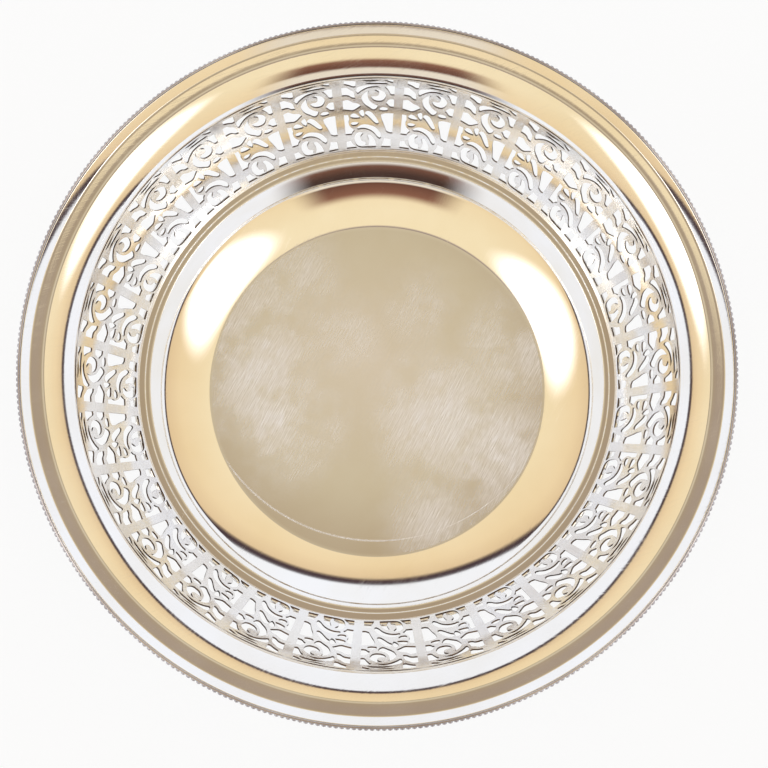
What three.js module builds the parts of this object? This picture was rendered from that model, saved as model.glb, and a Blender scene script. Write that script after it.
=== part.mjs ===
// Round silver centerpiece bowl: a plain well, a pierced gallery, a dished rim and a ring foot.
// Millimetres, +Z up, origin on the axis of the bowl at the surface that the foot stands on.

import * as THREE from 'three';

// Sheet and joints
const sheetThickness = 1.1;
const solderSeam = 0.05;
const panelSeam = 0.3;

// Foot
const footWireHeight = 1.6;
const footWireWidth = 3.6;
const footWireChamfer = 0.65;
const collarHeight = 7.6;
const collarFlare = 5.0;
const collarWaistHeight = 3.0;
const collarWaistIn = 2.8;
const footInset = 13.0;

// Well
const floorRadius = 79.7;
const coveRun = 22.9;
const coveDepth = 28.5;
const dishStartAngle = 12;
const dishEndAngle = 23.5;
const dishConeRun = 10.65;
const dishSteps = 3;
const wallRun = 1.6;
const wallAngle = 87;
const bendRise = 1.2;
const bendSteps = 2;
const ledgeWidth = 5.3;
const ledgeOverhang = 0.8;

// Gallery
const panelCount = 28;
const firstPostAngle = 4.3;
const galleryRun = 19.2;
const galleryBow = 1.2;
const galleryWall = 1.2;
const openingHeight = 33.5;
const lowerBorder = 0.8;
const upperBorder = 0.7;
const postWidth = 3.0;

// Mouldings that cover the two seams of the gallery
const lowerMouldingHeight = 2.0;
const lowerMouldingReach = 0.45;
const lowerMouldingFlat = 0.9;
const upperMouldingHeight = 2.4;
const upperMouldingReach = 0.5;
const upperMouldingLean = 1.2;

// Rim
const brimRun = 10.6;
const brimInnerAngle = 30;
const brimOuterAngle = 15.5;
const brimSteps = 4;
const flatRun = 5.45;
const flatRise = 0.12;
const lipRun = 3.45;
const lipRise = 2.15;
const beadDiameter = 1.8;

const steepness = (degrees) => Math.tan(THREE.MathUtils.degToRad(degrees));

// Heights, stacked from the table up
const collarBase = footWireHeight + solderSeam;
const collarTop = collarBase + collarHeight;
const floorUnder = collarTop + solderSeam;
const floorTop = floorUnder + sheetThickness;
const ledgeTop = floorTop + coveDepth;
const lowerMouldingBase = ledgeTop + solderSeam;
const lowerMouldingTop = lowerMouldingBase + lowerMouldingHeight;
const panelBase = lowerMouldingTop + solderSeam;
const panelHeight = lowerBorder + openingHeight + upperBorder;
const panelTop = panelBase + panelHeight;
const upperMouldingBase = panelTop + solderSeam;
const upperMouldingTop = upperMouldingBase + upperMouldingHeight;
const brimBase = upperMouldingTop + solderSeam;
const brimBend = brimBase + steepness(brimInnerAngle) * brimRun / 2;
const brimTop = brimBend + steepness(brimOuterAngle) * brimRun / 2;
const flatTop = brimTop + flatRise;
const lipTop = flatTop + lipRise;

// Radii, stacked from the axis out
const collarTopRadius = floorRadius - footInset;
const collarBaseRadius = collarTopRadius + collarFlare;
const ledgeInner = floorRadius + coveRun;
const lowerMouldingInner = ledgeInner + ledgeWidth;
const galleryFootRadius = lowerMouldingInner + lowerMouldingReach;
const galleryTopRadius = galleryFootRadius + galleryRun;
const ledgeOuter = galleryFootRadius + galleryWall + lowerMouldingReach + ledgeOverhang;
const brimInner = galleryTopRadius + upperMouldingLean;
const brimOuter = brimInner + brimRun;
const flatOuter = brimOuter + flatRun;
const lipOuter = flatOuter + lipRun;
const beadInner = lipOuter + solderSeam;

const pitch = 2 * Math.PI / panelCount;
const ringSegments = 2 * panelCount;
const postStart = THREE.MathUtils.degToRad(firstPostAngle);
const point = (x, y) => new THREE.Vector2(x, y);

const silver = (color, roughness) => new THREE.MeshStandardMaterial({ color, roughness, metalness: 1 });
const bowl = new THREE.Group();

function addPiece(name, geometry, material, turn = 0) {
  const mesh = new THREE.Mesh(geometry, material);
  mesh.name = name;
  mesh.rotation.z = turn;
  bowl.add(mesh);
}

// A ring turned about +Z, with its facets lined up with the posts of the gallery.
function turned(profile) {
  const geometry = new THREE.LatheGeometry(profile, ringSegments, Math.PI - postStart);
  return geometry.rotateX(Math.PI / 2);
}

function closedRing(profile) {
  return turned([...profile, profile[0].clone()]);
}

// Points of a curve, and the same points set off square to it by the sheet's thickness.
function sheetCurve(curve, steps) {
  const shown = [];
  const hidden = [];
  for (let i = 0; i <= steps; i += 1) {
    const place = curve.getPoint(i / steps);
    const along = curve.getTangent(i / steps);
    shown.push(place);
    hidden.push(point(place.x + along.y * sheetThickness, place.y - along.x * sheetThickness));
  }
  return { shown, hidden };
}

// Well: flat floor, shallow dish, bend, steep wall and level ledge, spun from one sheet.
// The bend rounds the corner where the dish, run on, would meet the wall.
const dishFoot = point(floorRadius, floorTop);
const dishKnee = point(dishConeRun, dishConeRun * steepness(dishStartAngle)).add(dishFoot);
const dishEndRun = coveRun - wallRun - dishConeRun;
const dishHead = point(dishEndRun, dishEndRun * steepness(dishEndAngle)).add(dishKnee);
const wallHead = point(ledgeInner, ledgeTop);
const wallFall = wallHead.y - dishHead.y - (wallHead.x - dishHead.x) * steepness(dishEndAngle);
const wallReach = wallFall / (steepness(wallAngle) - steepness(dishEndAngle));
const corner = point(wallHead.x - wallReach, wallHead.y - wallReach * steepness(wallAngle));
const wallFoot = point(bendRise / steepness(wallAngle), bendRise).add(corner);
const dish = sheetCurve(new THREE.QuadraticBezierCurve(dishFoot, dishKnee, dishHead), dishSteps);
const bend = sheetCurve(new THREE.QuadraticBezierCurve(dishHead, corner, wallFoot), bendSteps);
const coveShown = [...dish.shown, ...bend.shown.slice(1), wallHead];
const coveHidden = [...dish.hidden.slice(1), ...bend.hidden.slice(1)];
const wellProfile = [
  point(0, floorUnder),
  point(floorRadius, floorUnder),
  ...coveHidden,
  point(ledgeInner + sheetThickness, ledgeTop - sheetThickness),
  point(ledgeOuter, ledgeTop - sheetThickness),
  point(ledgeOuter, ledgeTop),
  ...coveShown.reverse(),
  point(0, floorTop),
];
addPiece('well', turned(wellProfile), silver(0xd9d2c6, 0.12));

// Foot: a flared collar on a flat wire.
const collarWaistRadius = collarBaseRadius - collarWaistIn;
const collarProfile = [
  point(collarBaseRadius - sheetThickness, collarBase),
  point(collarBaseRadius, collarBase),
  point(collarWaistRadius, collarBase + collarWaistHeight),
  point(collarTopRadius, collarTop),
  point(collarTopRadius - sheetThickness, collarTop),
  point(collarWaistRadius - sheetThickness, collarBase + collarWaistHeight),
];
addPiece('foot_collar', closedRing(collarProfile), silver(0xcfc9bf, 0.18));

const footWireInner = collarBaseRadius - sheetThickness / 2 - footWireWidth / 2;
const footWireOuter = footWireInner + footWireWidth;
const footWireProfile = [
  point(footWireInner, 0),
  point(footWireOuter, 0),
  point(footWireOuter, footWireHeight - footWireChamfer),
  point(footWireOuter - footWireChamfer, footWireHeight),
  point(footWireInner, footWireHeight),
];
addPiece('foot_wire', closedRing(footWireProfile), silver(0xcfc9bf, 0.2));

// Radius of the gallery's inner face, at a height above the foot of the panels.
// The wall leans out and is hollowed by its bow at half its height.
function galleryRadius(height) {
  const rise = height / panelHeight;
  return galleryFootRadius + galleryRun * rise - 4 * galleryBow * rise * (1 - rise);
}

// Lower moulding, a wire between the ledge and the panels, rounded to the inside.
const lowerMouldingMid = lowerMouldingBase + lowerMouldingHeight / 2;
const lowerMouldingOuter = galleryFootRadius + galleryWall + lowerMouldingReach;
const lowerMouldingProfile = [
  point(galleryFootRadius, lowerMouldingBase),
  point(lowerMouldingOuter, lowerMouldingBase),
  point(lowerMouldingOuter, lowerMouldingTop),
  point(galleryFootRadius, lowerMouldingTop),
  point(lowerMouldingInner, lowerMouldingMid + lowerMouldingFlat / 2),
  point(lowerMouldingInner, lowerMouldingMid - lowerMouldingFlat / 2),
];
addPiece('lower_moulding', closedRing(lowerMouldingProfile), silver(0xd9d2c6, 0.14));

// Upper moulding, the same between the panels and the rim.
const upperMouldingMid = upperMouldingBase + upperMouldingHeight / 2;
const upperMouldingMidRadius = galleryTopRadius + upperMouldingLean / 2;
const upperMouldingProfile = [
  point(galleryTopRadius, upperMouldingBase),
  point(galleryTopRadius + galleryWall, upperMouldingBase),
  point(upperMouldingMidRadius + galleryWall + upperMouldingReach, upperMouldingMid),
  point(brimInner + galleryWall, upperMouldingTop),
  point(brimInner, upperMouldingTop),
  point(upperMouldingMidRadius - upperMouldingReach, upperMouldingMid),
];
addPiece('upper_moulding', closedRing(upperMouldingProfile), silver(0xd9d2c6, 0.14));

// Rim: a hollow brim, a level flat and a turned-up lip, spun from one sheet.
const brimCurve = new THREE.QuadraticBezierCurve(
  point(brimInner, brimBase),
  point(brimInner + brimRun / 2, brimBend),
  point(brimOuter, brimTop),
);
const brim = sheetCurve(brimCurve, brimSteps);
const rimShown = [
  ...brim.shown,
  point(flatOuter, flatTop),
  point(lipOuter, lipTop),
];
const rimHidden = [
  point(brimInner + galleryWall, brimBase),
  ...brim.hidden.slice(1),
  point(flatOuter, flatTop - sheetThickness),
  point(lipOuter, lipTop - sheetThickness),
];
addPiece('rim_flange', closedRing([...rimHidden, ...rimShown.reverse()]), silver(0xe0d8c8, 0.12));

// Border wire round the edge of the rim, drawn plain through the crowns of its beads.
const beadMid = lipTop - sheetThickness / 2;
const beadRadius = beadDiameter / 2;
const beadMidRadius = beadInner + beadRadius;
const beadProfile = [0, 1, 2, 3, 4, 5].map((step) => {
  const angle = Math.PI / 6 + step * Math.PI / 3;
  const reach = beadRadius / Math.cos(Math.PI / 6);
  return point(beadMidRadius + reach * Math.cos(angle), beadMid + reach * Math.sin(angle));
});
addPiece('bead_border', closedRing(beadProfile), silver(0xe4ded2, 0.16));

// Openings of one panel, on a drawing that is as wide as it is deep,
// measured across from one post to the next and down from the top.
const openings = {
  upperFlag: [[7, 0.9], [20, 0.2], [28.5, 1.4], [27.5, 9], [16, 7.2], [7.3, 5]],
  lowerFlag: [[1.6, 9.1], [10, 8.8], [23, 15.2], [26, 25], [13, 21.3], [1.9, 20.6]],
  kite: [[1.7, 27], [11, 26], [22, 30.4], [36, 36.3], [20, 42.8], [1.4, 40.6]],
  crown: [[28.5, 17], [28.7, 11.6], [41, 7.7], [58, 6.9], [74, 10.5], [52, 11], [35, 16.6]],
  ribbonLens: [[43, 5.3], [64, 2.6], [88, 6.1]],
  cornerSlot: [[77, 0.2], [95, 0.9], [94.6, 4.3], [86, 2.9]],
  shoulder: [[80, 10.2], [87, 8.4], [98.4, 8.7], [98.1, 21.1], [92, 20.8]],
  upperCrescent: [
    [37, 24.4], [43, 18], [52, 14.6], [49.2, 21], [55, 30.4], [69, 36.3], [65, 41.2], [59, 42.8], [42, 34],
  ],
  upperEye: [[61, 13.7], [75, 14.6], [83, 22.3], [77, 29.8], [63, 29.6], [55, 23], [66, 22.4], [69.9, 18]],
  armGap: [[98.3, 27], [98.6, 39.1], [82.5, 33.4], [89, 27.3]],
  smallPetal: [[13.8, 50.5], [21, 45.9], [34, 53.8], [18, 53.4]],
  sidePetal: [[13.4, 61.8], [20, 58.7], [31, 60.2], [20.4, 65]],
  topPetal: [[30.5, 45.1], [39, 41.5], [41.4, 50.4], [38.6, 53.3]],
  longPetal: [[43, 46], [52, 43.8], [70.6, 60.2], [66, 63.8], [46, 50.6]],
  archPetal: [[70.8, 42], [75, 38.4], [86, 39.6], [87.4, 43.4], [77, 44.5]],
  leftWedge: [[1.8, 47.5], [10, 47.8], [9.6, 60.8], [20.6, 72.3], [14, 78.4], [1.5, 78.2]],
  keystone: [[74, 49], [98.2, 47.1], [98.6, 77.4], [85.2, 75.2], [79.8, 63.4]],
  lowerCrescent: [
    [25.7, 69], [36, 63.4], [52, 64.4], [68, 71.4], [75.2, 80.6], [74, 86], [56, 75.2], [36, 70.2],
  ],
  lowerEye: [
    [19, 83.5], [26, 75.8], [38, 77], [32.2, 84], [42.4, 92.6], [42, 96.2], [47.6, 96.4],
    [50, 90], [45.4, 79.9], [52, 79.7], [62, 89], [64.6, 99.8], [28, 98.8],
  ],
  rightFoot: [[81.6, 85.1], [95.4, 86.7], [96.7, 99.9], [75.5, 99.7]],
  leftFoot: [[1.7, 88.5], [11, 87.7], [22, 99.6], [1.4, 99.9]],
};

// The drawing ends a little beyond its last opening, at the next post and at the lower border.
const postClearance = 1.4;
const footClearance = 0.1;
const outlinePoints = Object.values(openings).flat();
const drawingWidth = Math.max(...outlinePoints.map(([across]) => across)) + postClearance;
const drawingDepth = Math.max(...outlinePoints.map(([, down]) => down)) + footClearance;

// One panel runs from the middle of a post to the middle of the next one.
// It is drawn flat and then bent round the axis on to the flared wall.
const drawnWidth = galleryFootRadius * pitch;
const clearWidth = drawnWidth - postWidth;
const halfSeam = panelSeam / 2;
// Each edge is drawn a hair hollow in the middle, so that its middle point follows the wall when bent.
const drawnHollow = 0.01;
const drawnX = (across) => postWidth / 2 + clearWidth * across / drawingWidth;
const drawnY = (down) => panelHeight - upperBorder - openingHeight * down / drawingDepth;

const panelShape = new THREE.Shape([
  point(halfSeam, 0),
  point(drawnWidth / 2, drawnHollow),
  point(drawnWidth - halfSeam, 0),
  point(drawnWidth - halfSeam - drawnHollow, panelHeight / 2),
  point(drawnWidth - halfSeam, panelHeight),
  point(drawnWidth / 2, panelHeight - drawnHollow),
  point(halfSeam, panelHeight),
  point(halfSeam + drawnHollow, panelHeight / 2),
]);
for (const outline of Object.values(openings)) {
  panelShape.holes.push(new THREE.Path(outline.map(([across, down]) => point(drawnX(across), drawnY(down)))));
}

function panelGeometry() {
  const geometry = new THREE.ExtrudeGeometry(panelShape, { depth: galleryWall, bevelEnabled: false });
  const place = geometry.attributes.position;
  for (let i = 0; i < place.count; i += 1) {
    const height = place.getY(i);
    const angle = postStart + pitch * place.getX(i) / drawnWidth;
    const radius = galleryRadius(height) + galleryWall - place.getZ(i);
    place.setXYZ(i, radius * Math.sin(angle), radius * Math.cos(angle), panelBase + height);
  }
  geometry.computeVertexNormals();
  return geometry;
}

for (let i = 0; i < panelCount; i += 1) {
  const label = String(i + 1).padStart(2, '0');
  addPiece(`gallery_panel_${label}`, panelGeometry(), silver(0xd4ccbe, 0.15), -pitch * i);
}

export default bowl;
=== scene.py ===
import math

import bmesh
import bpy
from mathutils import Matrix, Vector
from mathutils.geometry import interpolate_bezier


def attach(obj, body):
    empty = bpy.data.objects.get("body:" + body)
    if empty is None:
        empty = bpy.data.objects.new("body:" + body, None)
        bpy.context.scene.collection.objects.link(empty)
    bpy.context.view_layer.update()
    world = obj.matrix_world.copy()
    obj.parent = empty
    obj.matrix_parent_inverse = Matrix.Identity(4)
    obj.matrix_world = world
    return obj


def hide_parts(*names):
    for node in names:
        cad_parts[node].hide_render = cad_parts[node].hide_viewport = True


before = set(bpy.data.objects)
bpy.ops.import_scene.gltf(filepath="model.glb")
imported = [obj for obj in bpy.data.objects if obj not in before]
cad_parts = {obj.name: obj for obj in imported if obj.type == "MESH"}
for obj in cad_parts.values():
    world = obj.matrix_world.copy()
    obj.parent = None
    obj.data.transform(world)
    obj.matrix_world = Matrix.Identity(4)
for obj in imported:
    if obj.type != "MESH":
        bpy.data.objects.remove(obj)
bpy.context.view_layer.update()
mm = 0.001
print("frame loaded,", len(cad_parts), "solids")


# sRGB hex to the linear colour that sockets take
def hexColour(text):
    parts = [int(text[i:i + 2], 16) / 255 for i in (1, 3, 5)]
    return [c / 12.92 if c <= 0.04045 else ((c + 0.055) / 1.055) ** 2.4 for c in parts] + [1.0]


# one node with its settings; each input, in order or by name, takes a value or a link from an output
def addNode(tree, kind, inputs=(), **settings):
    node = tree.nodes.new("ShaderNode" + kind)
    for name, value in settings.items():
        setattr(node, name, value)
    named = inputs if isinstance(inputs, dict) else dict(enumerate(inputs))
    for name, value in named.items():
        if isinstance(value, bpy.types.NodeSocket):
            tree.links.new(value, node.inputs[name])
        else:
            node.inputs[name].default_value = value
    return node


# the colours along a ramp, as pairs of place and colour
def paintStops(ramp, stops):
    ramp.elements.remove(ramp.elements[-1])
    ramp.elements[0].position = stops[0][0]
    ramp.elements[0].color = hexColour(stops[0][1])
    for place, colour in stops[1:]:
        ramp.elements.new(place).color = hexColour(colour)


# camera: a phone held over the bowl, a little to the near side
viewpoint = {
    "focalPixels": 1200, "imagePixels": 768, "tilt": 10.02, "turn": -3.95,
    "distance": 497.4, "aim": (2.3, -11.1, 84.3),
}


def makeCamera(v):
    data = bpy.data.cameras.new("camera")
    data.sensor_fit = "HORIZONTAL"
    data.sensor_width = 36
    data.lens = data.sensor_width * v["focalPixels"] / v["imagePixels"]
    data.clip_start = 0.01
    camera = bpy.data.objects.new("camera", data)
    bpy.context.scene.collection.objects.link(camera)
    tilt, turn = math.radians(v["tilt"]), math.radians(v["turn"])
    away = Vector((math.sin(tilt) * math.sin(turn), -math.sin(tilt) * math.cos(turn), math.cos(tilt)))
    across = Vector((0, 1, 0)).cross(away).normalized()
    turned = Matrix((across, away.cross(across), away)).transposed().to_4x4()
    place = Matrix.Translation((Vector(v["aim"]) + away * v["distance"]) * mm)
    camera.matrix_world = place @ turned
    bpy.context.scene.camera = camera


makeCamera(viewpoint)
print("camera set")

# polished sterling silver, spun and buffed: a near mirror, neutral white, with hair scratches from use
# and a little haze where they crowd; the haze is tinted cool, a painted reflection of the window light
silverWell = {
    "colour": "#fcfbfa", "toned": "#f6f2ea", "roughness": 0.025, "haze": 0.12, "bump": 0.025,
    "veil": 0.0, "veilRoughness": 0.55, "veilColour": "#f1f3fb",
    "scratchWidth": 0.5, "scratchLength": 16, "scratchAngles": (62, 71, 40),
}
silverRim = {
    "colour": "#fbfaf9", "toned": "#f4f0e9", "roughness": 0.035, "haze": 0.08, "bump": 0.03,
    "veil": 0.08, "veilRoughness": 0.4, "veilColour": "#f1f3fb",
    "scratchWidth": 0.5, "scratchLength": 10, "scratchAngles": (20, 75, -40),
}
# pierced silver: struck and sawn strip, a shade duller than the sheet, with faint toning in clouds
silverPierced = {
    "colour": "#fafbfd", "toned": "#efeae2", "roughness": 0.07, "haze": 0.1, "bump": 0.06,
    "veil": 0.12, "veilRoughness": 0.5, "veilColour": "#f4f6fb",
    "scratchWidth": 0.5, "scratchLength": 4, "scratchAngles": (10, 80, -30),
}
# sawn edges of the piercing: not polished, and coloured dark brown, a painted shade for the walls of the
# openings
silverSawnShade = {
    "colour": "#66564a", "toned": "#3d3128", "roughness": 0.3, "haze": 0.1, "bump": 0.2,
    "veil": 0.1, "veilRoughness": 0.5, "veilColour": "#3d3128",
    "scratchWidth": 0.2, "scratchLength": 0.9, "scratchAngles": (0, 90, 45),
}
# bead wire: greyer than the sheet, a painted shade, so that the edge shows as a fine darker line
silverBeadedShade = {
    "colour": "#cfcacc", "toned": "#978e91", "roughness": 0.1, "haze": 0.1, "bump": 0.04,
    "veil": 0.06, "veilRoughness": 0.4, "veilColour": "#cfcacc",
    "scratchWidth": 0.4, "scratchLength": 2, "scratchAngles": (15, 60, -35),
}


# what all the finishes share: sizes in mm of the patches of heavier use and of the clouds of toning,
# the ranges of their noise, and how strong the second and third directions of scratches are
silverGrain = {
    "patchSize": 28, "patchRange": (0.42, 0.66), "cloudSize": 45, "toneRange": (0.38, 0.8),
    "crossShares": (0.5, 0.35), "scratchDepth": 0.05,
}


# scratches in one direction, mostly about 0.5 mm wide, coarser than real, so that they show
def scratchLayer(tree, place, look, angle, start=0.52, end=0.72):
    turn = {"Vector": place, "Rotation": (0, 0, -math.radians(angle))}
    turned = addNode(tree, "Mapping", turn).outputs["Vector"]
    length, width = look["scratchLength"] * mm, look["scratchWidth"] * mm
    stretch = {"Vector": turned, "Scale": (1 / length, 1 / width, 1 / length)}
    sized = addNode(tree, "Mapping", stretch).outputs["Vector"]
    noise = {"Vector": sized, "Scale": 1.0, "Detail": 2.0, "Roughness": 0.6}
    grain = addNode(tree, "TexNoise", noise).outputs["Fac"]
    return addNode(tree, "MapRange", (grain, start, end)).outputs["Result"]


# how far a point is from a given one
def reachFrom(tree, place, centre):
    centre = tuple(c * mm for c in centre)
    moved = addNode(tree, "VectorMath", (place, centre), operation="SUBTRACT").outputs["Vector"]
    return addNode(tree, "VectorMath", (moved,), operation="LENGTH").outputs["Value"]


# thin hazy ring off the axis, only on the near side of the floor: a painted highlight, the light arc seen
# there
def ringHighlight(tree, place, ring):
    reach = reachFrom(tree, place, ring["centre"])
    off = addNode(tree, "Math", (reach, ring["radius"] * mm), operation="SUBTRACT").outputs[0]
    off = addNode(tree, "Math", (off,), operation="ABSOLUTE").outputs[0]
    line = addNode(tree, "MapRange", (off, 0.0, ring["width"] * mm, 1.0, 0.0)).outputs["Result"]
    along = addNode(tree, "SeparateXYZ", (place,)).outputs["Y"]
    fade = (along, ring["fadeStart"] * mm, ring["fadeEnd"] * mm, 1.0, 0.0)
    near = addNode(tree, "MapRange", fade).outputs["Result"]
    return addNode(tree, "Math", (line, near), operation="MULTIPLY").outputs[0]


# soft patches of the floor that are dulled by many fine strokes, all leaning the same way, with the painted
# highlight ring
def floorDullingAndHighlight(tree, place, look, wearAndHighlight):
    total = 0.0
    for x, y, reach, share in wearAndHighlight["patches"]:
        away = reachFrom(tree, place, (x, y, wearAndHighlight["height"]))
        fade = (away, wearAndHighlight["core"] * reach * mm, reach * mm, share, 0.0)
        patch = addNode(tree, "MapRange", fade, interpolation_type="SMOOTHSTEP").outputs["Result"]
        total = addNode(tree, "Math", (patch, total), operation="MAXIMUM").outputs[0]
    # clouds break up the round patches
    noise = {"Vector": place, "Scale": 1 / (wearAndHighlight["cloud"] * mm), "Detail": 3.0, "Roughness": 0.6}
    cloud = addNode(tree, "TexNoise", noise).outputs["Fac"]
    thinning = (cloud, *wearAndHighlight["cloudRange"], wearAndHighlight["thinShare"], 1.0)
    thinned = addNode(tree, "MapRange", thinning).outputs["Result"]
    total = addNode(tree, "Math", (total, thinned), operation="MULTIPLY").outputs[0]
    ring = ringHighlight(tree, place, wearAndHighlight["ring"])
    total = addNode(tree, "Math", (total, ring), operation="MAXIMUM").outputs[0]
    fine = dict(look, scratchWidth=wearAndHighlight["strokeWidth"], scratchLength=wearAndHighlight["strokeLength"])
    angles = look["scratchAngles"][:2]
    strokes = [scratchLayer(tree, place, fine, angle, *wearAndHighlight["strokeRange"]) for angle in angles]
    crossing = addNode(tree, "Math", (strokes[1], wearAndHighlight["crossShare"]), operation="MULTIPLY").outputs[0]
    both = addNode(tree, "Math", (strokes[0], crossing), operation="MAXIMUM").outputs[0]
    streaks = addNode(tree, "MapRange", (both, 0.0, 1.0, wearAndHighlight["evenShare"], 1.0)).outputs["Result"]
    away = reachFrom(tree, place, (0, 0, wearAndHighlight["height"]))
    fade = (away, *[r * mm for r in wearAndHighlight["edge"]], 1.0, 0.0)
    level = addNode(tree, "MapRange", fade).outputs["Result"]
    total = addNode(tree, "Math", (total, streaks), operation="MULTIPLY").outputs[0]
    return addNode(tree, "Math", (total, level), operation="MULTIPLY").outputs[0]


def silverFinish(name, look, wearAndHighlight=None):
    material = bpy.data.materials.new(name)
    material.use_nodes = True
    tree = material.node_tree
    tree.nodes.clear()
    grain = silverGrain
    place = addNode(tree, "TexCoord").outputs["Object"]
    noise = {"Vector": place, "Scale": 1 / (grain["patchSize"] * mm), "Detail": 2.0, "Roughness": 0.5}
    patch = addNode(tree, "TexNoise", noise).outputs["Fac"]
    used = addNode(tree, "MapRange", (patch, *grain["patchRange"])).outputs["Result"]
    layers = [scratchLayer(tree, place, look, angle) for angle in look["scratchAngles"]]
    scratches = layers[0]
    for layer, share in zip(layers[1:], grain["crossShares"]):
        fainter = addNode(tree, "Math", (layer, share), operation="MULTIPLY").outputs[0]
        scratches = addNode(tree, "Math", (scratches, fainter), operation="MAXIMUM").outputs[0]
    worn = addNode(tree, "Math", (scratches, used), operation="MULTIPLY").outputs[0]
    hazing = (worn, 0.0, 1.0, look["roughness"], look["roughness"] + look["haze"])
    rough = addNode(tree, "MapRange", hazing).outputs["Result"]
    # faint toning in clouds
    noise = {"Vector": place, "Scale": 1 / (grain["cloudSize"] * mm), "Detail": 3.0, "Roughness": 0.55}
    cloud = addNode(tree, "TexNoise", noise).outputs["Fac"]
    toning = addNode(tree, "ValToRGB", (cloud,))
    paintStops(toning.color_ramp, list(zip(grain["toneRange"], (look["colour"], look["toned"]))))
    relief = {"Strength": look["bump"], "Distance": grain["scratchDepth"] * mm, "Height": scratches}
    bump = addNode(tree, "Bump", relief).outputs["Normal"]
    polish = {"Base Color": toning.outputs["Color"], "Metallic": 1.0, "Roughness": rough, "Normal": bump}
    mirror = addNode(tree, "BsdfPrincipled", polish).outputs["BSDF"]
    # a veil of fine wear over the mirror, in the same patches as the heavier use; its bluish colour is
    # painted cool window light
    dull = {"Base Color": hexColour(look["veilColour"]), "Metallic": 1.0, "Roughness": look["veilRoughness"]}
    veil = addNode(tree, "BsdfPrincipled", dull).outputs["BSDF"]
    crowded = addNode(tree, "Math", (used, scratches), operation="ADD").outputs[0]
    share = addNode(tree, "MapRange", (crowded, 0.0, 2.0, 0.0, look["veil"])).outputs["Result"]
    if wearAndHighlight:
        dullShareAndHighlight = floorDullingAndHighlight(tree, place, look, wearAndHighlight)
        share = addNode(tree, "Math", (share, dullShareAndHighlight), operation="MAXIMUM").outputs[0]
    both = addNode(tree, "MixShader", (share, mirror, veil)).outputs["Shader"]
    addNode(tree, "OutputMaterial", (both,))
    return material


# wear on the floor of the well: patches rubbed dull, and a thin ring on the near side that is a painted
# highlight
floorWearAndHighlight = {
    "ring": {"centre": (0, 14.2, 10.4), "radius": 86.5, "width": 0.65, "fadeStart": -27, "fadeEnd": -16},
    "patches": [
        (-62, 14, 46, 1.0), (-46, -14, 46, 1.0), (30, -14, 50, 0.9), (56, -30, 46, 1.0), (66, 20, 40, 0.9),
        (-48, 50, 44, 0.8), (28, -62, 34, 0.8), (-20, 24, 34, 0.6), (20, 40, 30, 0.5),
    ],
    "core": 0.1, "cloud": 24, "cloudRange": (0.36, 0.6), "thinShare": 0.1,
    "strokeWidth": 0.55, "strokeLength": 11, "strokeRange": (0.36, 0.66), "crossShare": 0.7,
    "height": 10.4, "edge": (78.5, 79.5), "evenShare": 0.4,
}
wellFinish = silverFinish("polished_silver_well", silverWell, floorWearAndHighlight)
rimFinish = silverFinish("polished_silver_rim", silverRim)
piercedFinish = silverFinish("pierced_silver", silverPierced)
sawnShadeFinish = silverFinish("sawn_silver_painted_shade", silverSawnShade)
beadedShadeFinish = silverFinish("beaded_silver", silverBeadedShade)
print("materials made")


# a piece from a bmesh: named, shaded, riding on the body and standing for its solids
def makePiece(name, bm, finish, nodes, sharpAngle=40):
    mesh = bpy.data.meshes.new(name)
    bm.to_mesh(mesh)
    bm.free()
    mesh.shade_smooth()
    mesh.set_sharp_from_angle(angle=math.radians(sharpAngle))
    piece = bpy.data.objects.new(name, mesh)
    bpy.context.scene.collection.objects.link(piece)
    mesh.materials.append(finish)
    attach(piece, "root")
    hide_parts(*nodes)
    print("made", name, len(mesh.polygons), "faces")
    return piece


# a curve from start to end that sets out towards the crown and comes in from it
def crownRun(start, crown, end, steps):
    a, c, b = (Vector((*p, 0)) for p in (start, crown, end))
    return [(p.x, p.y, 0) for p in interpolate_bezier(a, a.lerp(c, 2 / 3), b.lerp(c, 2 / 3), b, steps)]


# a profile of (radius, height, corner radius) in mm, with each corner that has a radius rounded
def roundedProfile(corners, closed, steps=5, mostShare=0.45):
    points = []
    last = len(corners) - 1
    for i, (r, z, soft) in enumerate(corners):
        here = Vector((r, z))
        if soft <= 0 or (not closed and i in (0, last)):
            points.append((r, z))
            continue
        before = Vector(corners[i - 1][:2]) - here
        after = Vector(corners[(i + 1) % len(corners)][:2]) - here
        reach = soft / math.tan(before.angle(after) / 2)
        reach = min(reach, before.length * mostShare, after.length * mostShare)
        start = here + before.normalized() * reach
        end = here + after.normalized() * reach
        points += [p[:2] for p in crownRun(start, here, end, steps)]
    return points


# a profile turned about the axis of the bowl
def spinProfile(points, steps, closed, weld=0.001):
    bm = bmesh.new()
    verts = [bm.verts.new((r * mm, 0, z * mm)) for r, z in points]
    edges = [bm.edges.new(pair) for pair in zip(verts, verts[1:])]
    if closed:
        edges.append(bm.edges.new((verts[-1], verts[0])))
    turn = {"cent": (0, 0, 0), "axis": (0, 0, 1), "dvec": (0, 0, 0), "angle": 2 * math.pi}
    bmesh.ops.spin(bm, geom=verts + edges, steps=steps, use_merge=True, **turn)
    bmesh.ops.remove_doubles(bm, verts=bm.verts, dist=weld * mm)
    bmesh.ops.recalc_face_normals(bm, faces=bm.faces)
    return bm


# the whole mesh repeated round the axis
def spinCopies(bm, count):
    geom = bm.verts[:] + bm.edges[:] + bm.faces[:]
    turn = {"cent": (0, 0, 0), "axis": (0, 0, 1), "dvec": (0, 0, 0)}
    turn["angle"] = 2 * math.pi * (1 - 1 / count)
    bmesh.ops.spin(bm, geom=geom, steps=count - 1, use_duplicate=True, **turn)
    bmesh.ops.recalc_face_normals(bm, faces=bm.faces)


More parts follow.
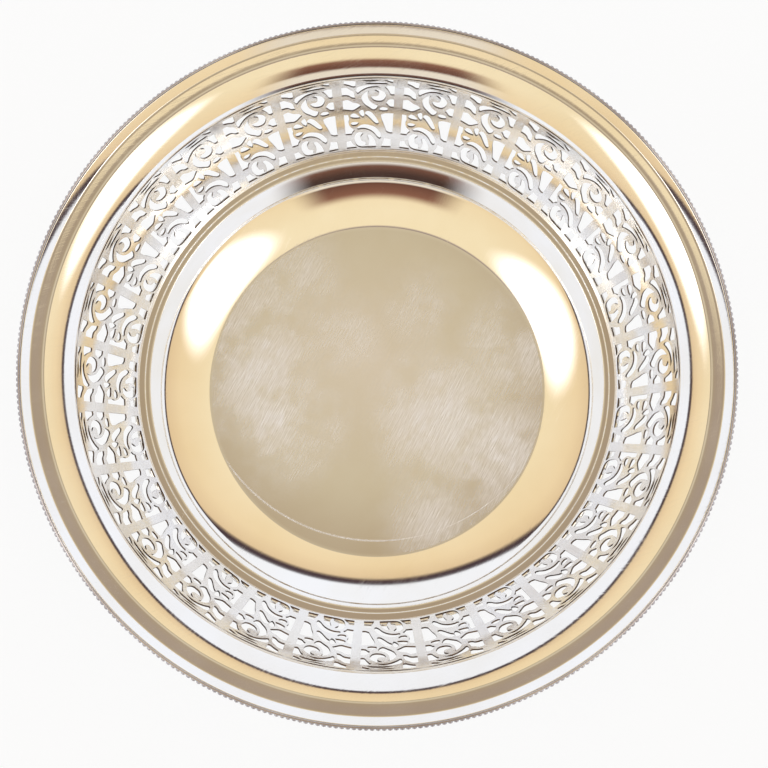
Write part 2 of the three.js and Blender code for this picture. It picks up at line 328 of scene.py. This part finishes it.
# the same curve, set off square to it by the sheet
def setOff(points, sheet):
    out = []
    for i, p in enumerate(points):
        before = Vector(points[max(i - 1, 0)][:2])
        after = Vector(points[min(i + 1, len(points) - 1)][:2])
        along = (after - before).normalized()
        out.append((p[0] + along.y * sheet, p[1] - along.x * sheet, 0))
    return out


# well: a flat floor, a shallow dish, a bend and a steep wall up to the ledge,
# which steps up by a third of a millimetre at its middle
well = {
    "sheet": 1.1, "floorRadius": 79.7, "floorTop": 10.4, "knee": (90.35, 12.66), "dishHead": (101.0, 17.3),
    "corner": (101.48, 17.5), "wallFoot": (101.54, 18.7), "wallHead": (102.6, 38.6),
    "stepRadius": 105.2, "stepWidth": 0.2, "ledgeTop": 38.9, "ledgeOuter": 110.8,
    "floorRings": (0, 20, 40, 60, 78), "underRings": (60, 30, 0), "turnMargin": 1, "stepMargin": 0.4,
    "floorSoft": 1.2, "headSoft": 0.6, "stepSoft": 0.1, "edgeSoft": 0.3, "underSoft": 0.7,
    "dishSteps": 14, "bendSteps": 10, "steps": 448,
}


def makeWell(w):
    foot = (w["floorRadius"], w["floorTop"])
    dish = crownRun(foot, w["knee"], w["dishHead"], w["dishSteps"])
    bend = crownRun(w["dishHead"], w["corner"], w["wallFoot"], w["bendSteps"])
    cove = dish + bend[1:] + [(*w["wallHead"], 0)]
    under = setOff(cove, w["sheet"])[1:-1]
    cove[0] = (*foot, w["floorSoft"])
    cove[-1] = (*w["wallHead"], w["headSoft"])
    floorUnder = w["floorTop"] - w["sheet"]
    ledgeUnder = w["ledgeTop"] - w["sheet"]
    headRadius, headTop = w["wallHead"]
    stepFoot = w["stepRadius"] - w["stepWidth"]
    corners = [(r, w["floorTop"], 0) for r in w["floorRings"]] + cove
    # points on either side of each turn keep the level parts of the ledge level
    corners += [(r, headTop, 0) for r in (headRadius + w["turnMargin"], stepFoot - w["stepMargin"])]
    corners += [(stepFoot, headTop, w["stepSoft"]), (w["stepRadius"], w["ledgeTop"], w["stepSoft"])]
    levelStart, levelEnd = w["stepRadius"] + w["stepMargin"], w["ledgeOuter"] - w["turnMargin"]
    corners += [(r, w["ledgeTop"], 0) for r in (levelStart, levelEnd)]
    corners += [(w["ledgeOuter"], z, w["edgeSoft"]) for z in (w["ledgeTop"], ledgeUnder)]
    corners += [(headRadius + w["sheet"], ledgeUnder, w["underSoft"])] + under[::-1]
    corners += [(w["floorRadius"], floorUnder, w["floorSoft"])]
    corners += [(r, floorUnder, 0) for r in w["underRings"]]
    bm = spinProfile(roundedProfile(corners, False), w["steps"], False)
    makePiece("silver_well", bm, wellFinish, ["well"])


makeWell(well)

# seam wires: one with a rounded nose where the gallery meets the ledge, and one under the rim
lowerMoulding = {
    "inner": 107.9, "face": 108.35, "outer": 110.0, "base": 38.95, "top": 40.95, "nose": 0.45,
    "soft": 0.2, "backSoft": 0.3, "noseSoft": 0.6, "steps": 448,
}
upperMoulding = {
    "lowFace": 127.55, "highFace": 128.75, "wall": 1.2, "reach": 0.5, "base": 76.05, "top": 78.45,
    "soft": 0.15, "noseSoft": 0.9, "steps": 448,
}


def makeLowerMoulding(m):
    middle = (m["base"] + m["top"]) / 2
    corners = [(r, m["base"], m["soft"]) for r in (m["face"], m["outer"])]
    corners += [(m["outer"], m["top"], m["backSoft"]), (m["face"], m["top"], m["soft"])]
    corners += [(m["inner"], middle + rise, m["noseSoft"]) for rise in (m["nose"], -m["nose"])]
    bm = spinProfile(roundedProfile(corners, True), m["steps"], True)
    makePiece("lower_seam_wire", bm, rimFinish, ["lower_moulding"])


def makeUpperMoulding(m):
    middle = (m["base"] + m["top"]) / 2
    face = (m["lowFace"] + m["highFace"]) / 2
    corners = [(r, m["base"], m["soft"]) for r in (m["lowFace"], m["lowFace"] + m["wall"])]
    corners += [(face + m["wall"] + m["reach"], middle, m["noseSoft"])]
    corners += [(r, m["top"], m["soft"]) for r in (m["highFace"] + m["wall"], m["highFace"])]
    corners += [(face - m["reach"], middle, m["noseSoft"])]
    bm = spinProfile(roundedProfile(corners, True), m["steps"], True)
    makePiece("upper_seam_wire", bm, rimFinish, ["upper_moulding"])


makeLowerMoulding(lowerMoulding)
makeUpperMoulding(upperMoulding)

# rim: a brim that eases off as it rises, a flat band and a lip turned up at the edge
rim = {
    "sheet": 1.1, "wall": 1.2, "brimFoot": (128.75, 78.5), "brimCrown": (134.05, 81.56),
    "brimHead": (139.35, 83.03), "flatOuter": (144.8, 83.15), "lipOuter": (148.25, 85.3),
    "turnSteps": 5, "turnSoft": 5, "flatShares": (0.45, 0.8), "flatSoft": 0.9, "lipSoft": 0.25,
    "underSoft": 0.7, "footSoft": 0.2, "brimSteps": 20, "steps": 512,
}


def makeRim(v):
    brim = crownRun(v["brimFoot"], v["brimCrown"], v["brimHead"], v["brimSteps"])
    shown = brim[:-v["turnSteps"]] + [(*v["brimHead"], v["turnSoft"])]
    # points along the flat band keep it flat
    for share in v["flatShares"]:
        shown.append((*Vector(v["brimHead"]).lerp(Vector(v["flatOuter"]), share), 0))
    shown += [(*v["flatOuter"], v["flatSoft"]), (*v["lipOuter"], v["lipSoft"])]
    under = [p for p in setOff(brim, v["sheet"]) if p[1] > v["brimFoot"][1]]
    under += [(r, z - v["sheet"], v["underSoft"]) for r, z in (v["flatOuter"], v["lipOuter"])]
    corners = shown + under[::-1]
    corners += [(v["brimFoot"][0] + v["wall"], v["brimFoot"][1], v["footSoft"])]
    bm = spinProfile(roundedProfile(corners, True), v["steps"], True)
    makePiece("silver_rim", bm, rimFinish, ["rim_flange"])


makeRim(rim)

# border: a plain wire with a row of fine beads under its outer edge
border = {
    "beads": 392, "beadCentre": 149.2, "beadHeight": 84.55, "beadRadius": 0.88, "beadLength": 1.1,
    "beadSides": 8, "beadRings": 6,
    "wireInner": 148.3, "wireOuter": 149.3, "wireBase": 83.95, "wireTop": 85.6,
    "baseSoft": 0.3, "topSoft": 0.5, "sharpAngle": 60, "steps": 512,
}


def makeBorder(b):
    corners = [(r, b["wireBase"], b["baseSoft"]) for r in (b["wireInner"], b["wireOuter"])]
    corners += [(r, b["wireTop"], b["topSoft"]) for r in (b["wireOuter"], b["wireInner"])]
    bm = spinProfile(roundedProfile(corners, True), b["steps"], True)
    beads = bmesh.new()
    ball = {"u_segments": b["beadSides"], "v_segments": b["beadRings"], "radius": b["beadRadius"] * mm}
    bmesh.ops.create_uvsphere(beads, **ball)
    bmesh.ops.scale(beads, vec=(1, b["beadLength"] / b["beadRadius"], 1), verts=beads.verts)
    bmesh.ops.translate(beads, vec=(b["beadCentre"] * mm, 0, b["beadHeight"] * mm), verts=beads.verts)
    spinCopies(beads, b["beads"])
    spare = bpy.data.meshes.new("beads")
    beads.to_mesh(spare)
    beads.free()
    bm.from_mesh(spare)
    bpy.data.meshes.remove(spare)
    # the beads take the greyer finish, painted shade along the edge
    makePiece("bead_wire", bm, beadedShadeFinish, ["bead_border"], b["sharpAngle"])


makeBorder(border)

# foot: a waisted collar on a drawn wire
foot = {
    "sheet": 1.1, "collarHead": (66.7, 9.25), "upperCrown": (67.4, 6.6), "waist": (68.9, 4.65),
    "lowerCrown": (70.2, 2.9), "collarBase": (71.7, 1.65),
    "wireInner": 69.35, "wireOuter": 72.95, "wireTop": 1.6,
    "innerSofts": (0.2, 0.3), "outerSofts": (0.3, 0.65), "curveSteps": 8, "steps": 384,
}


def makeFoot(f):
    shown = crownRun(f["collarHead"], f["upperCrown"], f["waist"], f["curveSteps"])
    shown += crownRun(f["waist"], f["lowerCrown"], f["collarBase"], f["curveSteps"])[1:]
    inside = [(r - f["sheet"], z, 0) for r, z, soft in shown]
    bm = spinProfile(roundedProfile(shown + inside[::-1], True), f["steps"], True)
    makePiece("foot_collar_spun", bm, rimFinish, ["foot_collar"])
    corners = [(f["wireInner"], 0, f["innerSofts"][0]), (f["wireOuter"], 0, f["outerSofts"][0])]
    corners += [(f["wireOuter"], f["wireTop"], f["outerSofts"][1])]
    corners += [(f["wireInner"], f["wireTop"], f["innerSofts"][1])]
    bm = spinProfile(roundedProfile(corners, True), f["steps"], True)
    makePiece("foot_wire_drawn", bm, rimFinish, ["foot_wire"])


makeFoot(foot)

# gallery: a pierced strip bent to the flare, in mm, the same scrolls between each pair of posts
gallery = {
    "panels": 28, "firstPost": 4.3, "footRadius": 108.35, "run": 19.2, "bow": 0.4, "base": 41.0,
    "height": 35.0, "wall": 0.6, "upperBorder": 0.7, "openingHeight": 33.5, "postWidth": 3.0,
    "softEdge": 0.09, "kink": 0.25, "columns": 16, "rows": 14, "curveSteps": 4, "sharpAngle": 35,
    "weld": 0.005, "seamWeld": 0.002, "endReach": 0.001,
}

# openings of one panel: across and down in hundredths of its clear width and height,
# and 1 where the edge runs on smoothly or 0 at a corner
openings = {
    "upperFlag": [
        (7, 0, 0), (20, 0, 0), (28.5, 1, 0), (27.5, 9, 0), (23, 9.2, 1), (16, 7, 1), (7, 5, 0),
    ],
    "lowerFlag": [
        (1.5, 9, 0), (10, 9, 1), (17, 12.3, 1), (22.5, 15, 1), (24.5, 20, 1), (26, 25, 0),
        (20, 24.5, 1), (13, 21.2, 1), (1.5, 20.5, 0),
    ],
    "kite": [
        (1.5, 27, 0), (11, 26, 1), (16, 28, 1), (22, 30.4, 1), (30, 32, 1), (36, 36.3, 0),
        (30, 39, 1), (20, 42.7, 1), (12, 42, 1), (1.5, 40.5, 0),
    ],
    "crown": [
        (28.5, 16.5, 1), (28.5, 12, 1), (30, 10, 1), (41, 7.6, 1), (51, 7, 1), (63, 7.8, 1),
        (74, 10.5, 0), (61, 10.1, 1), (51, 11, 1), (43, 13.2, 1), (35, 16.5, 1), (31, 18.4, 1),
    ],
    "ribbonLens": [
        (43, 5.2, 0), (52, 3.7, 1), (66, 2.5, 1), (80, 3.5, 1), (88, 6.1, 0),
        (80, 5.9, 1), (68, 5.5, 1), (55, 5.4, 1),
    ],
    "ribbonSlot": [(40, 0, 0), (75, 0, 0), (68, 0.9, 1), (55, 1.8, 1), (43, 0.9, 1)],
    "cornerSlot": [(77, 0, 0), (95, 0, 0), (95, 4.2, 0), (87.5, 3, 1), (81.5, 1, 1)],
    "shoulder": [
        (80, 10.2, 0), (86.5, 8.3, 1), (98.5, 8.5, 0), (98.5, 21, 0), (92.5, 21, 1),
        (88.5, 17.1, 1), (84.5, 13, 1),
    ],
    "upperCrescent": [
        (37, 24.4, 1), (40, 20, 1), (45, 17.1, 1), (52, 14.6, 0), (49.6, 17.9, 1), (49, 20.7, 1),
        (50.4, 25.9, 1), (55, 30.4, 1), (61, 33.5, 1), (69, 36.3, 0), (65.5, 41, 0), (60.5, 42.9, 1),
        (51, 39.1, 1), (42, 34, 1), (39, 30.4, 1),
    ],
    "upperEye": [
        (61, 13.7, 0), (68, 13.3, 1), (75.5, 14.9, 1), (81, 18, 1), (83, 22.2, 1), (81, 26.7, 1),
        (76.5, 29.7, 1), (68.7, 30.4, 1), (60.7, 28.8, 1), (55.8, 25.2, 1), (54.8, 22.6, 0),
        (60, 22.3, 1), (66, 22.3, 1), (69.8, 20, 1), (69.7, 17.6, 1), (66, 15.8, 1),
    ],
    "armGap": [
        (98.5, 26.9, 0), (98.5, 39, 0), (90.5, 38.2, 1), (86.5, 35.4, 1), (82.5, 33.5, 0),
        (85.5, 29.7, 1), (90.5, 26.9, 1),
    ],
    "archPetal": [
        (70.7, 41, 1), (74.6, 38.5, 1), (80.6, 38.2, 1), (86.5, 40, 1), (87.5, 43.4, 0),
        (82.5, 44.3, 1), (76.6, 44.3, 1), (71.7, 43.2, 1),
    ],
    "smallPetal": [
        (13.7, 50.5, 1), (16, 47.3, 1), (21, 46, 1), (27, 47.9, 1), (34, 53.8, 0),
        (27, 54.2, 1), (20, 53.7, 1), (15, 52.5, 1),
    ],
    "sidePetal": [
        (13.5, 61.8, 1), (15, 59.7, 1), (20, 58.7, 1), (31, 60.1, 0), (27, 63.6, 1), (21, 64.9, 1),
        (16, 64.4, 1),
    ],
    "topPetal": [
        (30.5, 45.1, 0), (34, 42.3, 1), (39, 41.6, 1), (41, 45.1, 1), (41.4, 51, 1), (39, 53.3, 0),
        (34, 50.3, 1),
    ],
    "longPetal": [
        (43, 45.7, 1), (47, 43.5, 1), (53, 44.2, 1), (60.7, 49.5, 1), (65.7, 54.7, 1), (69.7, 60.4, 1),
        (69.5, 62.9, 1), (65.7, 63.6, 1), (60.7, 61.3, 1), (53, 55.4, 1), (47, 51, 1), (43, 49, 1),
    ],
    "leftWedge": [
        (1.5, 47.4, 0), (10, 47.9, 0), (10.5, 52, 1), (11.5, 56.1, 0), (9.5, 60.8, 1), (12, 65.5, 1),
        (18, 69.8, 1), (21, 72.4, 0), (16.5, 75, 1), (14, 78.3, 0), (1.5, 78.3, 0),
    ],
    "keystone": [
        (74, 49.1, 0), (80.6, 47.3, 1), (98.5, 47, 0), (98.5, 77.5, 0), (92.5, 77.5, 1), (85.3, 75, 0),
        (82.5, 69.3, 1), (79.6, 63.6, 1), (75.6, 56.9, 1),
    ],
    "lowerCrescent": [
        (25.6, 68.7, 1), (29, 65.7, 1), (35, 63.6, 1), (43, 63.1, 1), (53, 64.8, 1), (60.7, 67, 1),
        (66.7, 70.4, 1), (71.7, 75, 1), (75.2, 80.2, 1), (74.8, 85, 0), (71.7, 86.3, 0), (66.7, 83.5, 1),
        (60.7, 78.1, 1), (53, 73.6, 1), (43, 70.7, 1), (34, 70.1, 1), (27, 70.5, 1),
    ],
    "lowerEye": [
        (19, 83.5, 1), (21.6, 78.3, 1), (27, 75.3, 1), (34, 75, 1), (38, 77, 0), (36, 79.2, 1),
        (32.5, 81.9, 1), (32, 85.6, 1), (35, 89.3, 1), (41, 90.8, 1), (43, 93.4, 1), (42, 96.2, 0),
        (47.5, 96.5, 0), (49.3, 92.9, 1), (50, 90, 1), (48, 84.9, 1), (45.4, 79.9, 0), (51, 79.5, 1),
        (56.8, 82.7, 1), (61.7, 88.6, 1), (64.2, 94.3, 1), (64.5, 100, 0), (45, 100, 1), (30, 99, 1),
        (23.5, 96.2, 1), (20, 90.8, 1),
    ],
    "rightFoot": [
        (81.6, 85, 0), (95.4, 86.6, 0), (96.5, 100, 0), (75.5, 100, 0), (78, 93.8, 1), (80.6, 90, 1),
    ],
    "leftFoot": [(1.5, 88.5, 0), (11, 87.8, 0), (15, 92.9, 1), (20, 96.7, 1), (23, 100, 0), (1.5, 100, 0)],
}


# one panel drawn flat in mm: its outline and openings filled as one flat curve
def flatPanel(g, shapes, width):
    curve = bpy.data.curves.new("panel_outline", "CURVE")
    curve.dimensions = "2D"
    curve.fill_mode = "FRONT"
    curve.resolution_u = g["curveSteps"]
    edge = curve.splines.new("POLY")
    edge.points.add(3)
    for point, corner in zip(edge.points, ((0, 0), (width, 0), (width, g["height"]), (0, g["height"]))):
        point.co = (*corner, 0, 1)
    edge.use_cyclic_u = True
    clear = width - g["postWidth"]
    top = g["height"] - g["upperBorder"]
    for outline in shapes.values():
        spline = curve.splines.new("BEZIER")
        spline.bezier_points.add(len(outline) - 1)
        for point, (across, down, smooth) in zip(spline.bezier_points, outline):
            x = g["postWidth"] / 2 + clear * across / 100
            point.co = (x, top - g["openingHeight"] * down / 100, 0)
            point.handle_left_type = point.handle_right_type = "AUTO" if smooth else "VECTOR"
        spline.use_cyclic_u = True
    drawn = bpy.data.objects.new("panel_outline", curve)
    bpy.context.scene.collection.objects.link(drawn)
    bpy.context.view_layer.update()
    shown = drawn.evaluated_get(bpy.context.evaluated_depsgraph_get())
    mesh = bpy.data.meshes.new_from_object(shown)
    bpy.data.objects.remove(drawn)
    bpy.data.curves.remove(curve)
    return mesh


# cuts across the flat panel, so that it bends smoothly
def cutGrid(bm, size, parts, direction, reach=0.0005):
    for i in range(1, parts):
        geom = bm.verts[:] + bm.edges[:] + bm.faces[:]
        place = Vector(direction) * size * i / parts
        bmesh.ops.bisect_plane(bm, geom=geom, dist=reach, plane_co=place, plane_no=direction)


# the two faces of the strip take the normals of the wall that they are bent to
def setWallNormals(mesh, sides, g):
    normals = [(0, 0, 0)] * len(mesh.loops)
    for polygon, side in zip(mesh.polygons, sides):
        if side == 0:
            continue
        for corner in polygon.loop_indices:
            place = mesh.vertices[mesh.loops[corner].vertex_index].co
            rise = (place.z / mm - g["base"]) / g["height"]
            slope = (g["run"] - 4 * g["bow"] * (1 - 2 * rise)) / g["height"]
            out = Vector((place.x, place.y, 0)).normalized()
            normal = (out - Vector((0, 0, slope))).normalized()
            normals[corner] = normal if side == 2 else -normal
    mesh.normals_split_custom_set(normals)


def makeGallery(g, shapes):
    pitch = 2 * math.pi / g["panels"]
    width = g["footRadius"] * pitch
    mesh = flatPanel(g, shapes, width)
    bm = bmesh.new()
    bm.from_mesh(mesh)
    bpy.data.meshes.remove(mesh)
    bmesh.ops.remove_doubles(bm, verts=bm.verts, dist=g["weld"])
    cutGrid(bm, width, g["columns"], (1, 0, 0))
    cutGrid(bm, g["height"], g["rows"], (0, 1, 0))
    grown = bmesh.ops.extrude_face_region(bm, geom=bm.faces[:], use_keep_orig=True)
    raised = [v for v in grown["geom"] if isinstance(v, bmesh.types.BMVert)]
    bmesh.ops.translate(bm, vec=(0, 0, g["wall"]), verts=raised)
    # each face is marked 0 for a sawn edge, 1 for the inside and 2 for the outside of the strip
    sideLayer = bm.faces.layers.int.new("side")
    for face in bm.faces:
        heights = [v.co.z for v in face.verts]
        inside = max(heights) < g["wall"] / 2
        outside = min(heights) > g["wall"] / 2
        face[sideLayer] = 1 if inside else 2 if outside else 0
    # the strip runs on through the posts, so the walls between panels go
    ends = [f for f in bm.faces if all(v.co.x < g["endReach"] for v in f.verts)]
    ends += [f for f in bm.faces if all(v.co.x > width - g["endReach"] for v in f.verts)]
    bmesh.ops.delete(bm, geom=ends, context="FACES_ONLY")
    # the sawn edges are a little softened
    sawn = [e for e in bm.edges if sorted(f[sideLayer] > 0 for f in e.link_faces) == [False, True]]
    soft = {"offset": g["softEdge"], "offset_type": "OFFSET", "segments": 1, "profile": 0.5, "material": -1}
    softened = bmesh.ops.bevel(bm, geom=sawn, affect="EDGES", clamp_overlap=True, **soft)
    for face in softened["faces"]:
        face[sideLayer] = 0
    start = math.radians(g["firstPost"])
    for v in bm.verts:
        share = v.co.x / width
        rise = v.co.y / g["height"]
        radius = g["footRadius"] + g["run"] * rise - 4 * g["bow"] * rise * (1 - rise)
        radius += v.co.z - g["kink"] * (1 - (2 * share - 1) ** 2)
        angle = start + pitch * share
        v.co = Vector((radius * math.sin(angle), radius * math.cos(angle), g["base"] + v.co.y)) * mm
    spinCopies(bm, g["panels"])
    bmesh.ops.remove_doubles(bm, verts=bm.verts, dist=g["seamWeld"] * mm)
    bmesh.ops.recalc_face_normals(bm, faces=bm.faces)
    sides = [face[sideLayer] for face in bm.faces]
    # the sawn edges take the second finish, whose dark brown is painted shade
    for face in bm.faces:
        face.material_index = 0 if face[sideLayer] else 1
    nodes = ["gallery_panel_%02d" % (i + 1) for i in range(g["panels"])]
    piece = makePiece("pierced_gallery", bm, piercedFinish, nodes, g["sharpAngle"])
    piece.data.materials.append(sawnShadeFinish)
    setWallNormals(piece.data, sides, g)


makeGallery(gallery, openings)

# floor: a wide matt white table; much of its white is its own to the eye and some in reflections,
# and the rest takes the shadow
floorLook = {"size": 6.0, "colour": "#f2f6fb", "ownWhite": 0.86, "mirroredWhite": 0.2}


def makeFloor(f):
    bm = bmesh.new()
    bmesh.ops.create_grid(bm, x_segments=8, y_segments=8, size=f["size"] / 2)
    mesh = bpy.data.meshes.new("floor")
    bm.to_mesh(mesh)
    bm.free()
    floor = bpy.data.objects.new("floor", mesh)
    bpy.context.scene.collection.objects.link(floor)
    material = bpy.data.materials.new("white_table")
    material.use_nodes = True
    tree = material.node_tree
    tree.nodes.clear()
    matt = addNode(tree, "BsdfDiffuse", {"Color": hexColour(f["colour"])}).outputs["BSDF"]
    path = addNode(tree, "LightPath").outputs
    seen = addNode(tree, "Math", (path["Is Camera Ray"], f["ownWhite"]), operation="MULTIPLY").outputs[0]
    bounced = (path["Is Glossy Ray"], path["Is Transmission Ray"])
    mirrored = addNode(tree, "Math", bounced, operation="MAXIMUM").outputs[0]
    mirrored = addNode(tree, "Math", (mirrored, f["mirroredWhite"]), operation="MULTIPLY").outputs[0]
    share = addNode(tree, "Math", (seen, mirrored), operation="MAXIMUM").outputs[0]
    white = addNode(tree, "Emission", {"Color": (1, 1, 1, 1), "Strength": 1.0}).outputs["Emission"]
    both = addNode(tree, "MixShader", (share, matt, white)).outputs["Shader"]
    addNode(tree, "OutputMaterial", (both,))
    mesh.materials.append(material)


makeFloor(floorLook)

# studio: a white tent with a cream ceiling, a dim tan cap overhead, two soft windows and a brown screen
# on the near side, all placed by degrees from overhead and, with a side, clockwise from the far side
studio = {
    "cap": (7.8, 0), "capSize": 14.6, "capSoft": 0.5, "capGlow": (11, 0),
    "capStops": [
        (0, "#d6c6ac"), (6, "#ccbd9f"), (8.5, "#bcaa8d"), (11, "#ad9a80"), (14, "#a99785"), (17, "#a29188"),
    ],
    "ceilingSquare": 5,
    "bands": [
        (0, "#f9e6bd"), (15, "#f9e6bd"), (30, "#f3daae"), (36, "#e6caa0"), (36.8, "#4c3d40"),
        (38.6, "#4c3d40"), (39.2, "#f8faff"), (90, "#f8faff"),
    ],
    "windows": [(23, 102), (22, 270)], "windowSize": 0, "windowSoft": 12, "windowStrength": 4.5,
    "screenStops": [
        (19, "#9c6c55"), (27, "#6f4a3c"), (29, "#6f4a3c"), (31, "#ece0cc"), (64, "#ece6dc"),
        (66.5, "#7a5546"), (72, "#4a3832"), (90, "#4a3832"),
    ],
    "screenTop": (19, 23), "screenFoot": (86, 80), "screenSide": (36, 20), "tentWhite": "#fcfcfc",
}


def towards(zenith, azimuth):
    tilt, turn = math.radians(zenith), math.radians(azimuth)
    return (math.sin(tilt) * math.sin(turn), math.sin(tilt) * math.cos(turn), math.cos(tilt))


# degrees between the look direction and a given one
def angleFrom(tree, look, direction):
    dot = addNode(tree, "VectorMath", (look, direction), operation="DOT_PRODUCT").outputs["Value"]
    angle = addNode(tree, "Math", (dot,), operation="ARCCOSINE").outputs[0]
    return addNode(tree, "Math", (angle, 180 / math.pi), operation="MULTIPLY").outputs[0]


# the colour at an angle, from stops in degrees
def bandColour(tree, angle, stops):
    share = addNode(tree, "Math", (angle, 180.0), operation="DIVIDE").outputs[0]
    bands = addNode(tree, "ValToRGB", (share,))
    paintStops(bands.color_ramp, [(degrees / 180, colour) for degrees, colour in stops])
    return bands.outputs["Color"]


# degrees from overhead to the edge of a square ceiling with rounded corners
def ceilingAngle(tree, look, square, leastRise=0.01):
    parts = addNode(tree, "SeparateXYZ", (look,)).outputs
    rise = addNode(tree, "Math", (parts["Z"], leastRise), operation="MAXIMUM").outputs[0]
    sides = []
    for name in ("X", "Y"):
        reach = addNode(tree, "Math", (parts[name],), operation="ABSOLUTE").outputs[0]
        share = addNode(tree, "Math", (reach, rise), operation="DIVIDE").outputs[0]
        sides.append(addNode(tree, "Math", (share, square), operation="POWER").outputs[0])
    both = addNode(tree, "Math", sides, operation="ADD").outputs[0]
    reach = addNode(tree, "Math", (both, 1 / square), operation="POWER").outputs[0]
    angle = addNode(tree, "Math", (reach,), operation="ARCTANGENT").outputs[0]
    return addNode(tree, "Math", (angle, 180 / math.pi), operation="MULTIPLY").outputs[0]


# where the screen stands: between its top and its foot, and on the near side
def screenShare(tree, look, zenith, s):
    level = addNode(tree, "VectorMath", (look, (1, 1, 0)), operation="MULTIPLY").outputs["Vector"]
    level = addNode(tree, "VectorMath", (level,), operation="NORMALIZE").outputs["Vector"]
    side = angleFrom(tree, level, (0, -1, 0))
    share = 1.0
    for angle, fade in ((side, s["screenSide"]), (zenith, s["screenTop"]), (zenith, s["screenFoot"])):
        within = addNode(tree, "MapRange", (angle, *fade), interpolation_type="SMOOTHSTEP").outputs["Result"]
        share = addNode(tree, "Math", (share, within), operation="MULTIPLY").outputs[0]
    return share


def makeStudio(s):
    world = bpy.data.worlds.new("studio")
    bpy.context.scene.world = world
    world.use_nodes = True
    tree = world.node_tree
    tree.nodes.clear()
    look = addNode(tree, "TexCoord").outputs["Generated"]
    zenith = angleFrom(tree, look, (0, 0, 1))
    sky = bandColour(tree, ceilingAngle(tree, look, s["ceilingSquare"]), s["bands"])
    # what stands before the sky, each as its share and its colour, from the back to the front
    layers = []
    for window in s["windows"]:
        angle = angleFrom(tree, look, towards(*window))
        fade = (angle, s["windowSize"], s["windowSoft"], 1.0, 0.0)
        share = addNode(tree, "MapRange", fade, interpolation_type="SMOOTHSTEP").outputs["Result"]
        layers.append((share, (*[s["windowStrength"]] * 3, 1)))
    layers.append((screenShare(tree, look, zenith, s), bandColour(tree, zenith, s["screenStops"])))
    capAngle = angleFrom(tree, look, towards(*s["cap"]))
    fade = (capAngle, s["capSize"] - s["capSoft"], s["capSize"] + s["capSoft"], 1.0, 0.0)
    share = addNode(tree, "MapRange", fade).outputs["Result"]
    glowAngle = angleFrom(tree, look, towards(*s["capGlow"]))
    layers.append((share, bandColour(tree, glowAngle, s["capStops"])))
    # to the eye the tent is as white as the table
    eye = addNode(tree, "LightPath").outputs["Is Camera Ray"]
    layers.append((eye, hexColour(s["tentWhite"])))
    for share, colour in layers:
        sky = addNode(tree, "Mix", {0: share, 6: sky, 7: colour}, data_type="RGBA").outputs[2]
    back = addNode(tree, "Background", {"Color": sky, "Strength": 1.0}).outputs["Background"]
    addNode(tree, "OutputWorld", (back,))


makeStudio(studio)
bpy.context.scene.view_settings.view_transform = "Standard"
print("stage and light made")
